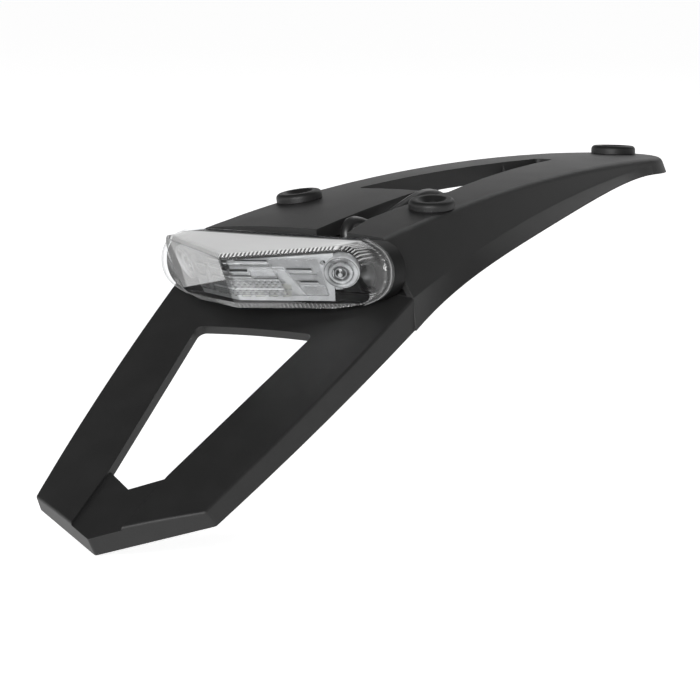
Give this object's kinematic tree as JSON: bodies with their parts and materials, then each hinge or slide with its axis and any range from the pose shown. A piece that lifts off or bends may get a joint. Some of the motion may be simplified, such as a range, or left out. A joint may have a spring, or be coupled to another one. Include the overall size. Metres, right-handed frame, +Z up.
{
  "type": "motorbike tail tidy",
  "caption": "Motorbike tail tidy: arched deck with flared sides and an open pointed number-plate frame in one moulding, rubber grommets, a clear fluted LED rear lamp and its lead.",
  "frame": {"origin": "on the front fixing's axis, at the deck's top face", "axes": "+X to the rider's right, +Y to the front of the bike, +Z up"},
  "size_m": [0.1036, 0.319, 0.1181],
  "materials": {
    "moulding": "black, fine even grain",
    "grommet": "soft satin black",
    "lens": "clear, fluted rim",
    "housing": "glossy black",
    "seal": "matt black",
    "reflector": "metallised bright",
    "board": "white solder mask",
    "led": "pale phosphor",
    "optic": "metallised bright bowl",
    "steel": "zinc plated",
    "sheath": "glossy black sheath",
    "tie": "black nylon",
    "connector": "natural nylon"
  },
  "bodies": {
    "root": {"tail_moulding": "moulding", "front_grommet": "grommet", "rear_left_grommet": "grommet", "rear_right_grommet": "grommet", "lamp_lens": "lens", "lamp_housing": "housing", "lamp_gasket": "seal", "tray_reflector": "reflector", "left_led_board": "board", "right_led_board": "board", "left_leds": "led", "right_leds": "led", "left_side_optic": "optic", "right_side_optic": "optic", "left_side_led": "led", "right_side_led": "led", "lamp_screws": "steel", "lamp_washers": "steel", "cable_gland": "seal", "lead": "sheath", "lead_coil": "sheath", "coil_tie": "tie", "lead_connector": "connector"}
  },
  "joints": []
}
